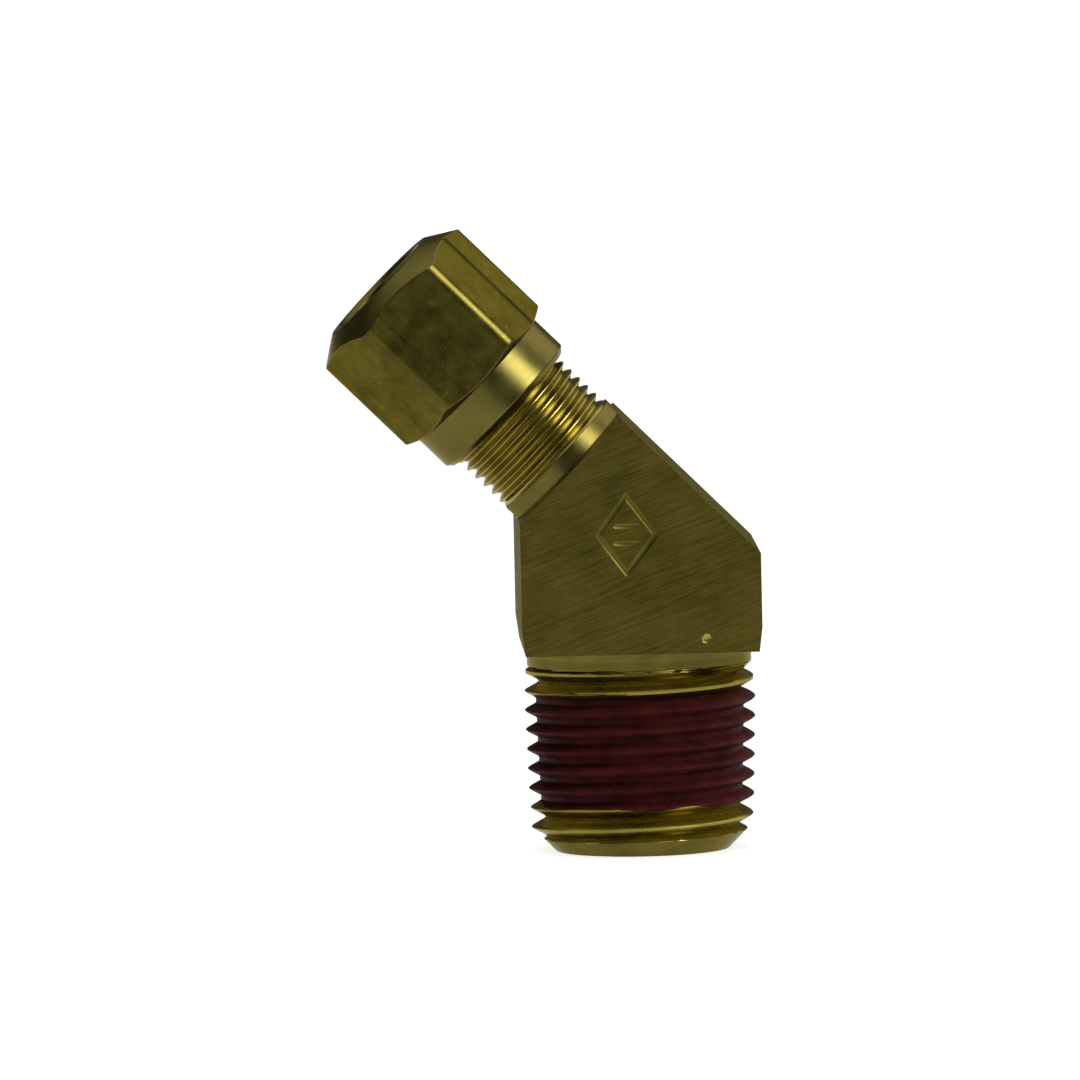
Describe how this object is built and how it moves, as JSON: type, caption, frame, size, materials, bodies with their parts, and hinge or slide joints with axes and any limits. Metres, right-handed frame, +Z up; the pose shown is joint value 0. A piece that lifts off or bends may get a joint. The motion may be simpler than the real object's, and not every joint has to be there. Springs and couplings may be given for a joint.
{
  "type": "45 degree male elbow compression fitting",
  "caption": "Brass 45 degree male elbow: taper pipe thread with red sealant on one leg, compression nut and sleeve for nylon tube on the other.",
  "frame": {"origin": "centre of the pipe thread's end face", "axes": "+Z up the pipe thread's axis into the block; the tube end leans from +Z towards -X; -Y is the marked flat side"},
  "size_m": [0.0396, 0.0222, 0.0581],
  "materials": {
    "body_brass": "machined, slightly dulled",
    "nut_brass": "turned, semi-bright",
    "sleeve_brass": "turned, bright",
    "support_brass": "drawn, bright",
    "thread_sealant": "dry cured film"
  },
  "bodies": {
    "elbow": {"elbow_body": "body_brass", "thread_sealant": "thread_sealant", "tube_support": "support_brass"},
    "captive_sleeve": {"sleeve": "sleeve_brass"},
    "nut": {"compression_nut": "nut_brass"}
  },
  "joints": [
    {"name": "sleeve_slide", "type": "slide", "parent": "elbow", "child": "captive_sleeve", "axis": [-0.7071, 0, 0.7071], "range_m": [-0.0027, 0.0069]},
    {"name": "nut_turn", "type": "hinge", "parent": "captive_sleeve", "child": "nut", "pos_m": [-0.01768, 0, 0.04723], "axis": [-0.7071, 0, 0.7071], "range_deg": [-900, 2340]}
  ],
  "couplings": [
    {"joint": "sleeve_slide", "follows": "nut_turn", "m_per_rad": 0.00016844}
  ]
}
